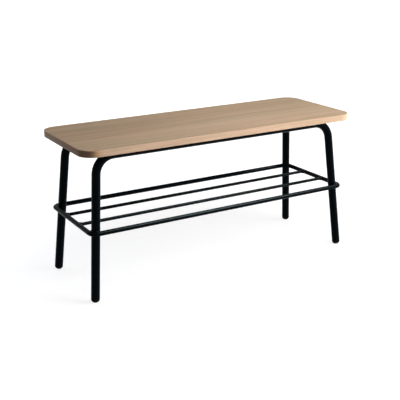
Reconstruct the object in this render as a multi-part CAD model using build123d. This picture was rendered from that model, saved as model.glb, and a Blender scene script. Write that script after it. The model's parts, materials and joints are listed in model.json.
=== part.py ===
"""Entryway bench: a veneered seat board on two bent tube frames that carry a rod shoe rack.

The bench stands with its length along X, its front towards -Y and its seat up (+Z).
The origin is on the floor, under the middle of the seat. All sizes are in millimetres.
"""
import os
from math import atan, atan2, cos, degrees, hypot, sin, sqrt

from build123d import *

os.makedirs("parts", exist_ok=True)

# ---------------------------------------------------------------- driving dimensions
# Seat board: a core with a veneer on both faces and a band glued round its edge.
seat_length = 930
seat_width = 335
seat_height = 450
seat_corner_radius = 46
core_thickness = 18
veneer_thickness = 0.6
band_thickness = 1.0
arris_radius = 0.8

# Frames: one bent tube each, an upside-down U that leans out at the floor.
tube_diameter = 25.4
tube_wall = 1.5
tube_bend_radius = 55
frame_corner_x = 405.5      # where the rail's axis and the leg's axis would cross
rail_y = 111                # rail's axis, from the middle of the bench
foot_x = 442                # leg's axis at the floor
foot_y = 143

# Foot glides: a plastic dome with a ribbed stem pushed into the tube.
dome_height = 10.5
dome_flat_depth = 0.5       # how much of the dome's tip the floor flat takes off
glide_land = 1.5            # short straight part between the dome and the tube's end
stem_length = 22
stem_diameter = 17
stem_rib_count = 3
stem_rib_thickness = 2

# Rack: a closed rod ring round the outside of the legs, with two bars across it.
rack_height = 206.5
ring_diameter = 14
bar_diameter = 10
ring_fit_up_gap = 0.1       # between the ring and each leg, bridged by the welds

# Cross straps: flat bars between the rails, under the seat.
strap_x = 300
strap_width = 30
strap_thickness = 4

# Seat fixings: M6 screws through the straps into inserts in the core.
fixing_y = 62
screw_diameter = 6
screw_length = 16
screw_head_diameter = 10.5
screw_head_height = 3.3
screw_head_rounding = 2.2
screw_tip_chamfer = 0.75
hex_socket_width = 4
hex_socket_depth = 2
washer_diameter = 12
washer_hole_diameter = 6.4
washer_thickness = 1.6
strap_hole_diameter = 6.6
insert_diameter = 10
insert_length = 13
insert_bore_diameter = 6.1
insert_chamfer = 0.6
core_hole_depth = 14

# Weld beads.
ring_bead_radius = 2.3
ring_bead_rise = 4.9        # bead's height above and below the ring's centre plane
ring_bead_half_angle = 50
bar_weld_radius = 8         # seen from above
bar_weld_height = 13.2
bar_weld_rounding = 6.2
bar_weld_setback = 2.2      # from the bar's end towards the ring
strap_bead_radius = 4
strap_bead_margin = 3       # strap width left bare at each end of a bead

# ---------------------------------------------------------------- derived dimensions
seat_thickness = core_thickness + 2 * veneer_thickness
underside_z = seat_height - seat_thickness
core_bottom_z = underside_z + veneer_thickness
tube_radius = tube_diameter / 2
tube_bore_radius = tube_radius - tube_wall
ring_radius = ring_diameter / 2
bar_radius = bar_diameter / 2
rail_z = underside_z - tube_radius
leg_slope_x = (foot_x - frame_corner_x) / rail_z
leg_slope_y = (foot_y - rail_y) / rail_z
leg_tilt = atan(hypot(leg_slope_x, leg_slope_y))
ring_offset = (tube_radius + ring_radius + ring_fit_up_gap) / cos(leg_tilt)
ring_half_length = foot_x - leg_slope_x * rack_height + ring_offset
ring_half_width = foot_y - leg_slope_y * rack_height + ring_offset
bar_y = ring_half_width / 3
bar_half_length = ring_half_length - ring_radius
strap_bottom_z = underside_z - strap_thickness
rail_half_chord = sqrt(tube_radius**2 - (strap_bottom_z - rail_z)**2)
strap_half_length = rail_y - rail_half_chord
washer_bottom_z = strap_bottom_z - washer_thickness
dome_reach = hypot(tube_radius * sin(leg_tilt), dome_height * cos(leg_tilt))
dome_centre_z = dome_reach - dome_flat_depth
tube_end_z = dome_centre_z + glide_land * cos(leg_tilt)

strap_places = {"left": -strap_x, "centre": 0, "right": strap_x}
leg_sides = {
    "front_left": (-1, -1),
    "front_right": (1, -1),
    "rear_left": (-1, 1),
    "rear_right": (1, 1),
}
fixing_points = [(x, y) for x in strap_places.values() for y in (-fixing_y, fixing_y)]


# ---------------------------------------------------------------- helpers
def write_node(name, solids):
    """Write one sub-part, which may be a group of separate solids, to its own STEP file."""
    group = Compound(children=[solid for item in solids for solid in item.solids()])
    group.label = name
    export_step(group, f"parts/{name}.step")


def on_leg(side_x, side_y, z):
    """The point of one leg's axis at height z."""
    return Vector(side_x * (foot_x - leg_slope_x * z), side_y * (foot_y - leg_slope_y * z), z)


def leg_plane(side_x, side_y, z):
    """A plane across one leg at height z, with its normal up the leg."""
    foot = on_leg(side_x, side_y, z)
    return Plane(origin=foot, z_dir=on_leg(side_x, side_y, rail_z) - foot)


def frame_tube_solid(side_y, radius):
    """A solid bar of the given radius along the whole bent path of one frame."""
    path = FilletPolyline(
        on_leg(-1, side_y, tube_end_z),
        on_leg(-1, side_y, rail_z),
        on_leg(1, side_y, rail_z),
        on_leg(1, side_y, tube_end_z),
        radius=tube_bend_radius,
    )
    return sweep(leg_plane(-1, side_y, tube_end_z) * Circle(radius), path=path)


def seat_layer(inset, bottom_z, thickness):
    """A flat layer of the seat board, inset from the board's outline."""
    outline = RectangleRounded(
        seat_length - 2 * inset, seat_width - 2 * inset, seat_corner_radius - inset
    )
    return Pos(Z=bottom_z) * extrude(outline, thickness)


def fixing_cylinders(diameter, bottom_z, height):
    """Upright cylinders at every seat fixing."""
    return [
        Pos(x, y, bottom_z) * Cylinder(diameter / 2, height, align=(Align.CENTER, Align.CENTER, Align.MIN))
        for x, y in fixing_points
    ]


def round_ended_bead(path, radius):
    """A weld bead: a round bar along a path, with a ball at each end."""
    start = Plane(origin=path @ 0, z_dir=path % 0)
    bead = sweep(start * Circle(radius), path=path)
    return bead + Pos(path @ 0) * Sphere(radius) + Pos(path @ 1) * Sphere(radius)


# ---------------------------------------------------------------- seat board
def seat_core():
    core = seat_layer(band_thickness, core_bottom_z, core_thickness)
    return core - fixing_cylinders(insert_diameter, underside_z, core_hole_depth)


def seat_top_veneer():
    return seat_layer(band_thickness, seat_height - veneer_thickness, veneer_thickness)


def seat_bottom_veneer():
    veneer = seat_layer(band_thickness, underside_z, veneer_thickness)
    return veneer - fixing_cylinders(insert_diameter, underside_z, veneer_thickness)


def seat_edge_band():
    """The band has its outer edges eased, top and bottom."""
    board = seat_layer(0, underside_z, seat_thickness)
    eased_edges = board.faces().sort_by(Axis.Z)[0].edges() + board.faces().sort_by(Axis.Z)[-1].edges()
    return fillet(eased_edges, arris_radius) - seat_layer(band_thickness, underside_z, seat_thickness)


# ---------------------------------------------------------------- frames and feet
def frame_tube(side_y):
    return frame_tube_solid(side_y, tube_radius) - frame_tube_solid(side_y, tube_bore_radius)


def foot_glide(side_x, side_y):
    """A half ellipsoid under a short land, with a ribbed stem that fills the tube's bore."""
    stem_radius = stem_diameter / 2
    stem_top = glide_land + stem_length
    dome = EllipticalCenterArc((0, 0), tube_radius, dome_height, -90, arc_size=90)
    sides = Polyline(
        dome @ 1,
        (tube_radius, glide_land),
        (stem_radius, glide_land),
        (stem_radius, stem_top),
        (0, stem_top),
        dome @ 0,
    )
    body = revolve(Plane.XZ * make_face([dome, sides]), Axis.Z)
    rib_pitch = stem_length / stem_rib_count
    for rib in range(stem_rib_count):
        body += Pos(Z=glide_land + (rib + 0.5) * rib_pitch) * Cylinder(tube_bore_radius, stem_rib_thickness)
    below_floor = Pos(side_x * foot_x, side_y * foot_y) * Box(
        2 * tube_diameter, 2 * tube_diameter, tube_diameter, align=(Align.CENTER, Align.CENTER, Align.MAX)
    )
    return leg_plane(side_x, side_y, dome_centre_z) * body - below_floor


# ---------------------------------------------------------------- rack
def rack_ring():
    """A closed ring of rod whose corners bend round the legs."""
    path = Pos(Z=rack_height) * RectangleRounded(
        2 * ring_half_length, 2 * ring_half_width, ring_offset
    ).wire()
    start = Plane(origin=path @ 0, z_dir=path % 0)
    return sweep(start * Circle(ring_radius), path=path)


def rack_bar(side_y):
    return Pos(0, side_y * bar_y, rack_height) * Rot(Y=90) * Cylinder(bar_radius, 2 * bar_half_length)


def cross_strap(x):
    strap = Pos(x, 0, underside_z) * Box(
        strap_width, 2 * strap_half_length, strap_thickness, align=(Align.CENTER, Align.CENTER, Align.MAX)
    )
    return strap - fixing_cylinders(strap_hole_diameter, strap_bottom_z, strap_thickness)


# ---------------------------------------------------------------- welds
def ring_leg_bead(side_x, side_y, rise):
    """A bead in the groove between a leg and the ring, above (rise > 0) or below the ring."""
    height = rack_height + rise
    centre = on_leg(side_x, side_y, height)
    drift = ring_offset + hypot(leg_slope_x, leg_slope_y) * rise
    groove_radius = (tube_radius + drift - sqrt(ring_radius**2 - rise**2)) / 2
    outward = degrees(atan2(side_y, side_x))
    path = CenterArc(centre, groove_radius, outward - ring_bead_half_angle, 2 * ring_bead_half_angle)
    return round_ended_bead(path, ring_bead_radius)


def ring_leg_welds(ring, frames):
    beads = []
    for side_x, side_y in leg_sides.values():
        for rise in (ring_bead_rise, -ring_bead_rise):
            beads.append(ring_leg_bead(side_x, side_y, rise) - ring - frames[side_y])
    return beads


def rack_bar_welds(ring, bars):
    """A rounded fillet at each end of each bar, where it butts on the ring."""
    disc = Cylinder(bar_weld_radius, bar_weld_height)
    blob = fillet(disc.edges(), bar_weld_rounding)
    welds = []
    for side_y, bar in bars.items():
        for side_x in (-1, 1):
            blob_x = side_x * (bar_half_length + bar_weld_setback)
            welds.append(Pos(blob_x, side_y * bar_y, rack_height) * blob - ring - bar)
    return welds


def strap_welds(frames, straps):
    """Beads along both corners of each strap's end, flush with the seat's underside."""
    above_underside = Pos(Z=underside_z) * Box(
        seat_length, seat_width, seat_thickness, align=(Align.CENTER, Align.CENTER, Align.MIN)
    )
    half_bead = strap_width / 2 - strap_bead_margin - strap_bead_radius
    welds = []
    for name, x in strap_places.items():
        for side_y, frame in frames.items():
            bead_y = side_y * strap_half_length
            path = Line((x - half_bead, bead_y, strap_bottom_z), (x + half_bead, bead_y, strap_bottom_z))
            welds.append(round_ended_bead(path, strap_bead_radius) - frame - straps[name] - above_underside)
    return welds


# ---------------------------------------------------------------- fasteners
def seat_screw():
    """A button-head screw, head down, with the underside of its head at z = 0."""
    head = Cylinder(screw_head_diameter / 2, screw_head_height, align=(Align.CENTER, Align.CENTER, Align.MAX))
    head = fillet(head.edges().sort_by(Axis.Z)[0], screw_head_rounding)
    socket = Pos(Z=-screw_head_height) * extrude(
        RegularPolygon(hex_socket_width / 2, 6, major_radius=False), hex_socket_depth
    )
    shank = Cylinder(screw_diameter / 2, screw_length, align=(Align.CENTER, Align.CENTER, Align.MIN))
    tip = shank.edges().sort_by(Axis.Z)[-1]
    return head - socket + chamfer(tip, screw_tip_chamfer)


def washer():
    outline = Circle(washer_diameter / 2) - Circle(washer_hole_diameter / 2)
    return extrude(outline, washer_thickness)


def threaded_insert():
    outline = Circle(insert_diameter / 2) - Circle(insert_bore_diameter / 2)
    sleeve = extrude(outline, insert_length)
    top_rim = sleeve.edges().group_by(Axis.Z)[-1].sort_by(SortBy.RADIUS)[-1]
    return chamfer(top_rim, insert_chamfer)


def at_fixings(piece, z):
    return [Pos(x, y, z) * piece for x, y in fixing_points]


# ---------------------------------------------------------------- assembly
frames = {-1: frame_tube(-1), 1: frame_tube(1)}
filled_frames = {side_y: frame_tube_solid(side_y, tube_radius) for side_y in (-1, 1)}
ring = rack_ring()
bars = {side_y: rack_bar(side_y) for side_y in (-1, 1)}
straps = {name: cross_strap(x) for name, x in strap_places.items()}

write_node("seat_core", [seat_core()])
write_node("seat_top_veneer", [seat_top_veneer()])
write_node("seat_bottom_veneer", [seat_bottom_veneer()])
write_node("seat_edge_band", [seat_edge_band()])
write_node("front_frame_tube", [frames[-1]])
write_node("rear_frame_tube", [frames[1]])
for name, strap in straps.items():
    write_node(f"{name}_cross_strap", [strap])
write_node("rack_ring", [ring])
write_node("rack_bar_front", [bars[-1]])
write_node("rack_bar_rear", [bars[1]])
for name, (side_x, side_y) in leg_sides.items():
    write_node(f"{name}_foot_glide", [foot_glide(side_x, side_y)])
write_node("ring_leg_welds", ring_leg_welds(ring, filled_frames))
write_node("rack_bar_welds", rack_bar_welds(ring, bars))
write_node("strap_welds", strap_welds(filled_frames, straps))
write_node("seat_screws", at_fixings(seat_screw(), washer_bottom_z))
write_node("seat_washers", at_fixings(washer(), washer_bottom_z))
write_node("threaded_inserts", at_fixings(threaded_insert(), underside_z))
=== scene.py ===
"""Looks of the entryway bench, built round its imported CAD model.

Lengths are in metres and angles in degrees. Azimuth 0 is in front of the bench, and 90 is to its
right. Colours are linear.
"""
import json
import math

import bpy
from mathutils import Matrix, Vector

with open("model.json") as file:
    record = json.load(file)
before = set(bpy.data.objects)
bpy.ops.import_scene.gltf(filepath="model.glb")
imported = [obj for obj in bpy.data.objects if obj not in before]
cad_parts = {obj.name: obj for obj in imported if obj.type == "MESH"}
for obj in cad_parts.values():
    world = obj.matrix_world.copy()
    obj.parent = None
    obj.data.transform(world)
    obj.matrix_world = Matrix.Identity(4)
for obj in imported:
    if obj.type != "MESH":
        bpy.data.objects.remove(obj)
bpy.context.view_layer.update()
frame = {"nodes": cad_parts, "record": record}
nodes = frame["nodes"]
scene = bpy.context.scene


# ---------------------------------------------------------------- node helpers
def rgb(red, green, blue):
    return (red, green, blue, 1.0)


WHITE = rgb(1.0, 1.0, 1.0)


def new_material(name):
    """An empty node material, with its node tree."""
    material = bpy.data.materials.new(name)
    material.use_nodes = True
    material.node_tree.nodes.clear()
    return material, material.node_tree


def add(tree, kind, inputs=None, **settings):
    """A node of the given kind. inputs gives sockets, by name or place, a value or another
    node's output."""
    node = tree.nodes.new(kind)
    for key, value in settings.items():
        setattr(node, key, value)
    for key, value in (inputs or {}).items():
        if isinstance(value, bpy.types.NodeSocket):
            tree.links.new(value, node.inputs[key])
        else:
            node.inputs[key].default_value = value
    return node


def math_node(tree, operation, first, second=0.0):
    """The result of one Math node."""
    return add(tree, "ShaderNodeMath", {0: first, 1: second}, operation=operation).outputs[0]


def stretched(tree, scale, origin=(0.0, 0.0, 0.0)):
    """The piece's own coordinates, stretched by scale along each axis and moved by origin."""
    coordinates = add(tree, "ShaderNodeTexCoord").outputs["Object"]
    inputs = {"Vector": coordinates, "Scale": scale, "Location": origin}
    return add(tree, "ShaderNodeMapping", inputs).outputs[0]


def noise(tree, vector, detail, roughness=0.5):
    """Noise between 0 and 1 at one cell per unit of vector."""
    inputs = {"Vector": vector, "Scale": 1.0, "Detail": detail, "Roughness": roughness}
    return add(tree, "ShaderNodeTexNoise", inputs).outputs["Fac"]


def even_noise(tree, cells_per_metre, detail):
    """Noise whose cells have the same size along each axis."""
    return noise(tree, stretched(tree, (cells_per_metre,) * 3), detail)


def ramp(tree, value, start, end, to=(0.0, 1.0)):
    """Value taken from start..end to the two ends of to, and held there outside."""
    inputs = {"Value": value, "From Min": start, "From Max": end, "To Min": to[0], "To Max": to[1]}
    return add(tree, "ShaderNodeMapRange", inputs).outputs["Result"]


def blend(tree, factor, first, second, mode="MIX"):
    """Two colours mixed by factor."""
    # A Mix node's sockets share their names, and these are its factor and its two colours.
    inputs = {0: factor, 6: first, 7: second}
    return add(tree, "ShaderNodeMix", inputs, data_type="RGBA", blend_type=mode).outputs[2]


def mix_shaders(tree, factor, first, second):
    """The first shader at a factor of 0, and the second at 1."""
    return add(tree, "ShaderNodeMixShader", {0: factor, 1: first, 2: second}).outputs[0]


def bump(tree, height, strength, distance, base=None):
    """The normal of a surface that height, times distance, raises. base is the normal of the
    surface that it is laid on."""
    inputs = {"Strength": strength, "Distance": distance, "Height": height}
    if base is not None:
        inputs["Normal"] = base
    return add(tree, "ShaderNodeBump", inputs).outputs[0]


def surface(tree, colour, roughness, normal, specular, tint=WHITE, metallic=0.0):
    """A plain surface's shader, joined to the material's output."""
    shader = add(tree, "ShaderNodeBsdfPrincipled", {
        "Base Color": colour, "Roughness": roughness, "Normal": normal,
        "Specular IOR Level": specular, "Specular Tint": tint, "Metallic": metallic,
    })
    add(tree, "ShaderNodeOutputMaterial", {"Surface": shader.outputs[0]})


# ---------------------------------------------------------------- materials
# The specular level of the matt and satin finishes, low because gloss sees the white background.
LOW_GLOSS = 0.03


def oak(name, grain_axes, figure, pale, dark, origin, light_leaf=None, painted_corner_shade=None):
    """Straight-grained oak under a matt lacquer.

    grain_axes: how much each axis runs down the grain, and how much it runs over it.
    figure: the size of the broad bands against the seat's.
    pale, dark: the colours at the two ends of the tone.
    origin: the place in the log that the leaf was cut from.
    light_leaf: a paler strip's place along y, half its width, and how much it adds to the tone.
    painted_corner_shade: the centre, radius and tint of a painted browner shade where the band
    turns a corner.
    """
    material, tree = new_material(name)

    def grain(length, width, **kind):
        """Noise whose cells are length long down the grain and width wide across it."""
        scale = tuple(down / length + over / width for down, over in zip(*grain_axes))
        return noise(tree, stretched(tree, scale, origin), **kind)

    leaf_bands = grain(0.9 * figure, 0.06 * figure, detail=1.0)
    ring_bands = grain(0.6 * figure, 0.02 * figure, detail=2.0)
    rings = grain(0.35 * figure, 0.008 * figure, detail=2.0)
    streaks = grain(0.12, 0.0028, detail=2.0, roughness=0.6)
    fibres = grain(0.03, 0.0006, detail=1.0)
    pores = grain(0.007, 0.00028, detail=0.0)
    flecks = grain(0.004, 0.0016, detail=1.0)
    warm_bands = grain(0.5 * figure, 0.05 * figure, detail=1.0)

    middle_tone = 0.5
    gains = (leaf_bands, 1.3), (ring_bands, 1.6), (rings, 1.3), (streaks, 0.9), (fibres, 0.4)
    tone = middle_tone
    for layer, gain in gains:
        from_middle = math_node(tree, "SUBTRACT", layer, middle_tone)
        tone = math_node(tree, "ADD", math_node(tree, "MULTIPLY", from_middle, gain), tone)
    if light_leaf is not None:
        place, half_width, gain = light_leaf
        coordinates = stretched(tree, (1.0, 1.0, 1.0))
        y = add(tree, "ShaderNodeSeparateXYZ", {"Vector": coordinates}).outputs["Y"]
        away = math_node(tree, "ABSOLUTE", math_node(tree, "SUBTRACT", y, place))
        added = ramp(tree, away, 0.3 * half_width, 1.6 * half_width, to=(gain, 0.0))
        tone = math_node(tree, "ADD", tone, added)
    colour = blend(tree, ramp(tree, tone, 0.0, 1.0), dark, pale)
    warm_tint = rgb(1.035, 0.985, 1.0)
    colour = blend(tree, ramp(tree, warm_bands, 0.4, 0.65), colour, warm_tint, "MULTIPLY")

    # A painted browner shade round one spot, where the band turns into shade at a corner.
    if painted_corner_shade is not None:
        centre, radius, tint = painted_corner_shade
        plan = stretched(tree, (1.0, 1.0, 0.0))
        away = add(tree, "ShaderNodeVectorMath", {0: plan, 1: centre}, operation="DISTANCE")
        depth = ramp(tree, away.outputs["Value"], 0.4 * radius, radius, to=(1.0, 0.0))
        colour = blend(tree, depth, colour, tint, "MULTIPLY")

    # The pores crowd into the early wood, where the rings are dark.
    early_wood = ramp(tree, rings, 0.4, 0.6, to=(1.0, 0.25))
    pore_rows = math_node(tree, "MULTIPLY", ramp(tree, pores, 0.6, 0.68), early_wood)
    pore_colour, pore_depth = rgb(0.17, 0.1, 0.055), 0.3
    colour = blend(tree, math_node(tree, "MULTIPLY", pore_rows, pore_depth), colour, pore_colour)
    fleck_colour, fleck_depth = rgb(0.68, 0.54, 0.38), 0.12
    ray_flecks = math_node(tree, "MULTIPLY", ramp(tree, flecks, 0.66, 0.76), fleck_depth)
    colour = blend(tree, ray_flecks, colour, fleck_colour)

    fibre_relief = math_node(tree, "MULTIPLY", fibres, 0.3)
    relief = math_node(tree, "SUBTRACT", fibre_relief, pore_rows)
    normal = bump(tree, relief, strength=0.5, distance=0.00012)
    surface(tree, colour, ramp(tree, streaks, 0.3, 0.7, to=(0.64, 0.74)), normal, LOW_GLOSS)
    return material


def powder_coat(name, ripple_depth=None):
    """Satin black powder coat with a fine orange peel, over a weld bead's ripples if these have
    a depth."""
    material, tree = new_material(name)
    peel = even_noise(tree, 700.0, detail=2.0)
    mottle = even_noise(tree, 45.0, detail=3.0)
    colour = blend(tree, mottle, rgb(0.0008, 0.0015, 0.0026), rgb(0.0014, 0.0023, 0.0036))
    normal = bump(tree, peel, strength=0.25, distance=0.00006)
    if ripple_depth is not None:
        ripples = even_noise(tree, 450.0, detail=1.0)
        normal = bump(tree, ripples, strength=0.8, distance=ripple_depth, base=normal)
    roughness = ramp(tree, mottle, 0.3, 0.7, to=(0.27, 0.33))
    cool_gloss = rgb(0.62, 0.93, 1.0)
    surface(tree, colour, roughness, normal, LOW_GLOSS, tint=cool_gloss)
    return material


def glide_plastic(name):
    """Black moulded plastic with a fine matt spark finish."""
    material, tree = new_material(name)
    sparks = even_noise(tree, 1500.0, detail=1.0)
    colour = blend(tree, sparks, rgb(0.002, 0.0024, 0.0028), rgb(0.004, 0.0046, 0.005))
    normal = bump(tree, sparks, strength=0.3, distance=0.00005)
    surface(tree, colour, ramp(tree, sparks, 0.3, 0.7, to=(0.46, 0.6)), normal, LOW_GLOSS)
    return material


def zinc(name):
    """Bright zinc plate, clouded and faintly scuffed."""
    material, tree = new_material(name)
    cloud = even_noise(tree, 600.0, detail=2.0)
    scuffs = noise(tree, stretched(tree, (4000.0, 900.0, 900.0)), detail=2.0)
    colour = blend(tree, cloud, rgb(0.46, 0.47, 0.49), rgb(0.66, 0.67, 0.67))
    roughness = ramp(tree, cloud, 0.3, 0.7, to=(0.26, 0.4))
    normal = bump(tree, scuffs, strength=0.2, distance=0.00003)
    surface(tree, colour, roughness, normal, specular=0.5, metallic=1.0)
    return material


def board_core(name):
    """Raw board of pressed wood chips."""
    material, tree = new_material(name)
    chip_cells = {"Vector": stretched(tree, (260.0, 260.0, 700.0)), "Scale": 1.0}
    chips = add(tree, "ShaderNodeTexVoronoi", chip_cells).outputs["Color"]
    chip_tone = add(tree, "ShaderNodeSeparateColor", {"Color": chips}).outputs["Red"]
    dust = even_noise(tree, 900.0, detail=3.0)
    colour = blend(tree, chip_tone, rgb(0.34, 0.23, 0.13), rgb(0.56, 0.43, 0.28))
    dust_colour = rgb(0.25, 0.16, 0.09)
    colour = blend(tree, ramp(tree, dust, 0.4, 0.7, to=(0.0, 0.4)), colour, dust_colour)
    normal = bump(tree, dust, strength=0.6, distance=0.0002)
    surface(tree, colour, roughness=0.85, normal=normal, specular=0.2)
    return material


DOWN_X = (1.0, 0.0, 0.0), (0.0, 1.0, 1.0)
ROUND_THE_EDGE = (1.0, 1.0, 0.0), (0.0, 0.0, 1.0)

seat_veneer = oak(
    "oak_veneer", DOWN_X, figure=1.0,
    pale=rgb(0.541, 0.415, 0.280), dark=rgb(0.441, 0.333, 0.219),
    origin=(51.8, 74.2, 40.6), light_leaf=(-0.068, 0.012, 0.3),
)
edge_band = oak(
    "oak_edge_band", ROUND_THE_EDGE, figure=0.3,
    pale=rgb(0.626, 0.453, 0.315), dark=rgb(0.525, 0.365, 0.248),
    # The painted browner shade where the band turns the front-left corner.
    origin=(62.9, 90.1, 49.3), painted_corner_shade=((-0.427, -0.167, 0.0), 0.023, rgb(0.95, 0.86, 0.74)),
)
weld_coat = powder_coat("coated_weld", ripple_depth=0.0009)
slot_materials = {
    "seat_veneer": seat_veneer,
    "edge_band": edge_band,
    "board_core": board_core("raw_board"),
    "coated_steel": powder_coat("satin_black_powder_coat"),
    "glide_plastic": glide_plastic("black_glide_plastic"),
    "zinc_steel": zinc("bright_zinc"),
}
for subpart in frame["record"]["subparts"]:
    is_weld = subpart["node"].endswith("_welds")
    node = nodes[subpart["node"]]
    node.data.materials.clear()
    node.data.materials.append(weld_coat if is_weld else slot_materials[subpart["material_slot"]])


# ---------------------------------------------------------------- background and floor
def seen_directly(tree):
    """1 for the rays that show the background: from the camera, off a gloss or through glass."""
    path = add(tree, "ShaderNodeLightPath").outputs
    shown = math_node(tree, "MAXIMUM", path["Is Camera Ray"], path["Is Glossy Ray"])
    return math_node(tree, "MAXIMUM", shown, path["Is Transmission Ray"])


def make_world():
    """A white background that lights the bench with a weaker, slightly warm fill."""
    world = bpy.data.worlds.new("studio")
    scene.world = world
    world.use_nodes = True
    tree = world.node_tree
    tree.nodes.clear()
    fill = rgb(0.150, 0.1255, 0.127)
    colour = blend(tree, seen_directly(tree), fill, WHITE)
    background = add(tree, "ShaderNodeBackground", {"Color": colour, "Strength": 1.0})
    add(tree, "ShaderNodeOutputWorld", {"Surface": background.outputs[0]})


def make_floor():
    """A white floor. Where it is seen, it is mostly its own white, a little less of it near the
    bench as a painted shade under and round it, and a diffuse part takes the real light and the
    shadows. To other rays it is dark."""
    bpy.ops.mesh.primitive_circle_add(
        vertices=96, radius=30.0, fill_type="NGON", location=(0.0, 0.0, 0.0),
    )
    floor = bpy.context.object
    floor.name = "floor"
    material, tree = new_material("white_floor")

    place = add(tree, "ShaderNodeTexCoord").outputs["Object"]
    from_bench = add(tree, "ShaderNodeVectorMath", {0: place}, operation="LENGTH").outputs["Value"]
    # Painted shade: the floor's own white is dimmed under and round the bench.
    own_strength_with_painted_shade = ramp(tree, from_bench, 0.45, 1.1, to=(0.79, 1.0))
    own_white = add(tree, "ShaderNodeEmission", {"Color": WHITE, "Strength": own_strength_with_painted_shade})
    lit = add(tree, "ShaderNodeBsdfDiffuse", {"Color": rgb(0.3, 0.3, 0.3)})
    seen = add(tree, "ShaderNodeAddShader", {0: lit.outputs[0], 1: own_white.outputs[0]})
    unseen = add(tree, "ShaderNodeBsdfDiffuse", {"Color": rgb(0.12, 0.12, 0.12)})
    from_above = mix_shaders(tree, seen_directly(tree), unseen.outputs[0], seen.outputs[0])

    # From below the floor is clear, so that the underside of the bench can be seen.
    clear = add(tree, "ShaderNodeBsdfTransparent").outputs[0]
    below = add(tree, "ShaderNodeNewGeometry").outputs["Backfacing"]
    either_side = mix_shaders(tree, below, from_above, clear)
    add(tree, "ShaderNodeOutputMaterial", {"Surface": either_side})
    floor.data.materials.append(material)


# ---------------------------------------------------------------- camera and lamps
def look_at(obj, target):
    obj.rotation_mode = "QUATERNION"
    obj.rotation_quaternion = (Vector(target) - obj.location).to_track_quat("-Z", "Y")


def direction(azimuth, elevation):
    """The direction from the bench to a viewer or lamp."""
    a, e = math.radians(azimuth), math.radians(elevation)
    return Vector((math.sin(a) * math.cos(e), -math.cos(a) * math.cos(e), math.sin(e)))


def make_camera():
    """The camera at the photograph's viewing angle."""
    azimuth, elevation, roll = -30.66, 18.40, -0.25
    distance = 2.538
    aim = Vector((-0.0086, 0.0, 0.1922))
    data = bpy.data.cameras.new("camera")
    data.sensor_width = 36.0
    data.lens = 71.6
    camera = bpy.data.objects.new("camera", data)
    scene.collection.objects.link(camera)
    camera.location = aim + direction(azimuth, elevation) * distance
    look_at(camera, aim)
    camera.rotation_quaternion @= Matrix.Rotation(math.radians(roll), 4, "Z").to_quaternion()
    scene.camera = camera


def area_light(name, target, azimuth, elevation, distance, size, power,
               colour=(1.0, 1.0, 1.0), **seen_by):
    """A soft lamp that faces its target. seen_by names a kind of ray that it leaves out."""
    data = bpy.data.lights.new(name, "AREA")
    data.shape = "RECTANGLE"
    data.size, data.size_y = size
    data.energy = power
    data.color = colour
    light = bpy.data.objects.new(name, data)
    scene.collection.objects.link(light)
    light.location = Vector(target) + direction(azimuth, elevation) * distance
    look_at(light, target)
    light.visible_camera = False
    for key, value in seen_by.items():
        setattr(light, key, value)


BENCH_MIDDLE = (0.0, 0.0, 0.3)
SEAT_TOP = (0.0, 0.0, 0.45)
SEAT_LEFT_END = (-0.465, 0.05, 0.43)
FRONT_ROD = (0.0, -0.147, 0.2065)

make_world()
make_floor()
make_camera()
area_light("key", BENCH_MIDDLE, azimuth=62, elevation=5, distance=3.4,
           size=(1.9, 1.7), power=215, visible_glossy=False)
area_light("overhead", SEAT_TOP, azimuth=28.1, elevation=46.6, distance=1.238,
           size=(0.5, 0.5), power=10.8)
area_light("left_fill", SEAT_LEFT_END, azimuth=-156.3, elevation=-4.0, distance=0.71,
           size=(0.3, 0.3), power=2.0, colour=(0.76, 1.0, 1.26), visible_glossy=False)
area_light("rear_fill", BENCH_MIDDLE, azimuth=165, elevation=7, distance=2.6,
           size=(1.6, 1.2), power=22, visible_glossy=False)
# The long highlights on the rods.
area_light("gleam", FRONT_ROD, azimuth=50, elevation=51, distance=2.0,
           size=(0.9, 1.2), power=260, colour=(1.0, 0.93, 0.86), visible_diffuse=False)
scene.view_settings.view_transform = "Standard"
